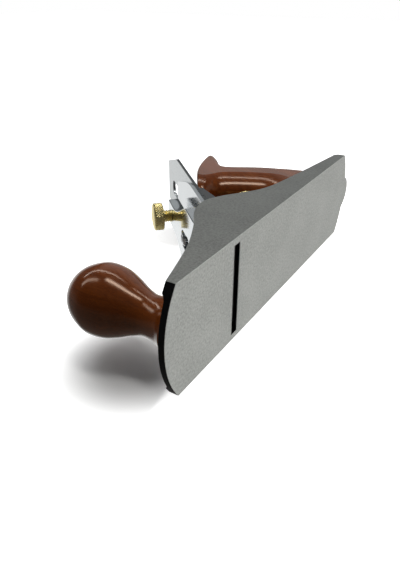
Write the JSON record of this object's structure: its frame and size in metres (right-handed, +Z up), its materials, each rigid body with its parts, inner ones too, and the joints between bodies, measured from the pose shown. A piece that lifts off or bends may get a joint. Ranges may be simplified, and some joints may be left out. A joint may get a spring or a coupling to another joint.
{
  "type": "smoothing plane",
  "caption": "Metal bench plane with a wooden knob and tote, a pitched blade under a chromed lever cap, and depth, lateral and frog adjusters.",
  "frame": {"origin": "centre of the plane's length and width, on the face of the sole", "axes": "+X points to the toe, +Y to the plane's left cheek, +Z up from the sole to the handles"},
  "size_m": [0.249, 0.061, 0.1316],
  "materials": {
    "casting": "ground cheeks and sole, black paint inside",
    "frog_paint": "satin dark paint, machined bed",
    "blade_steel": "ground, satin",
    "cap_iron_steel": "polished",
    "cap_chrome": "polished plating",
    "brass": "turned and knurled",
    "wood": "glossy reddish brown varnish",
    "screw_steel": "turned",
    "pressed_steel": "dull"
  },
  "bodies": {
    "plane_body": {"body": "casting", "knob": "wood", "knob_stud": "screw_steel", "knob_nut": "brass", "tote": "wood", "tote_stud": "screw_steel", "tote_nut": "brass", "tote_toe_screw": "screw_steel", "frog_screws": "screw_steel", "frog_screw_washers": "screw_steel"},
    "frog_group": {"frog": "frog_paint", "lever_cap_screw": "screw_steel", "yoke_pin": "screw_steel", "depth_stud": "screw_steel", "lateral_pivot": "screw_steel", "frog_clip": "pressed_steel", "frog_clip_screw": "screw_steel"},
    "adjusting_screw": {"frog_adjusting_screw": "screw_steel"},
    "blade_group": {"blade": "blade_steel", "cap_iron": "cap_iron_steel", "cap_iron_screw": "screw_steel"},
    "yoke_body": {"yoke": "pressed_steel"},
    "wheel_body": {"depth_wheel": "brass"},
    "lateral_group": {"lateral_lever": "pressed_steel", "lateral_disc": "screw_steel"},
    "lever_cap_body": {"lever_cap": "cap_chrome"},
    "thumb_screw_body": {"thumb_screw": "brass"}
  },
  "joints": [
    {"name": "frog_slide", "type": "slide", "parent": "plane_body", "child": "frog_group", "axis": [1, 0, 0], "range_m": [0, 0.0012]},
    {"name": "frog_screw_turn", "type": "hinge", "parent": "frog_group", "child": "adjusting_screw", "pos_m": [0, 0, 0.008], "axis": [1, 0, 0], "range_deg": [-2, 434]},
    {"name": "blade_slide", "type": "slide", "parent": "frog_group", "child": "blade_group", "axis": [-0.7071, 0, 0.7071], "range_m": [-0.001, 0.001]},
    {"name": "wheel_turn", "type": "hinge", "parent": "frog_group", "child": "wheel_body", "pos_m": [-0.033, 0, 0.043], "axis": [1, 0, 0], "range_deg": [-361, 361]},
    {"name": "yoke_tilt", "type": "hinge", "parent": "frog_group", "child": "yoke_body", "pos_m": [-0.013, 0, 0.0565], "axis": [0, 1, 0], "range_deg": [-4.4, 4.4]},
    {"name": "lateral_swing", "type": "hinge", "parent": "frog_group", "child": "lateral_group", "pos_m": [-0.00695, 0, 0.0647], "axis": [0.7071, 0, 0.7071], "range_deg": [-7, 7]},
    {"name": "lever_cap_slide", "type": "slide", "parent": "frog_group", "child": "lever_cap_body", "axis": [-0.7071, 0, 0.7071], "range_m": [0, 0.012]},
    {"name": "thumb_screw_turn", "type": "hinge", "parent": "lever_cap_body", "child": "thumb_screw_body", "pos_m": [-0.0066, 0, 0.08556], "axis": [0.7071, 0, 0.7071], "range_deg": [-720, 0]}
  ],
  "couplings": [
    {"joint": "frog_screw_turn", "follows": "frog_slide", "rad_per_m": 6283.2},
    {"joint": "wheel_turn", "follows": "blade_slide", "rad_per_m": -6283.2},
    {"joint": "yoke_tilt", "follows": "blade_slide", "rad_per_m": -74.6}
  ]
}
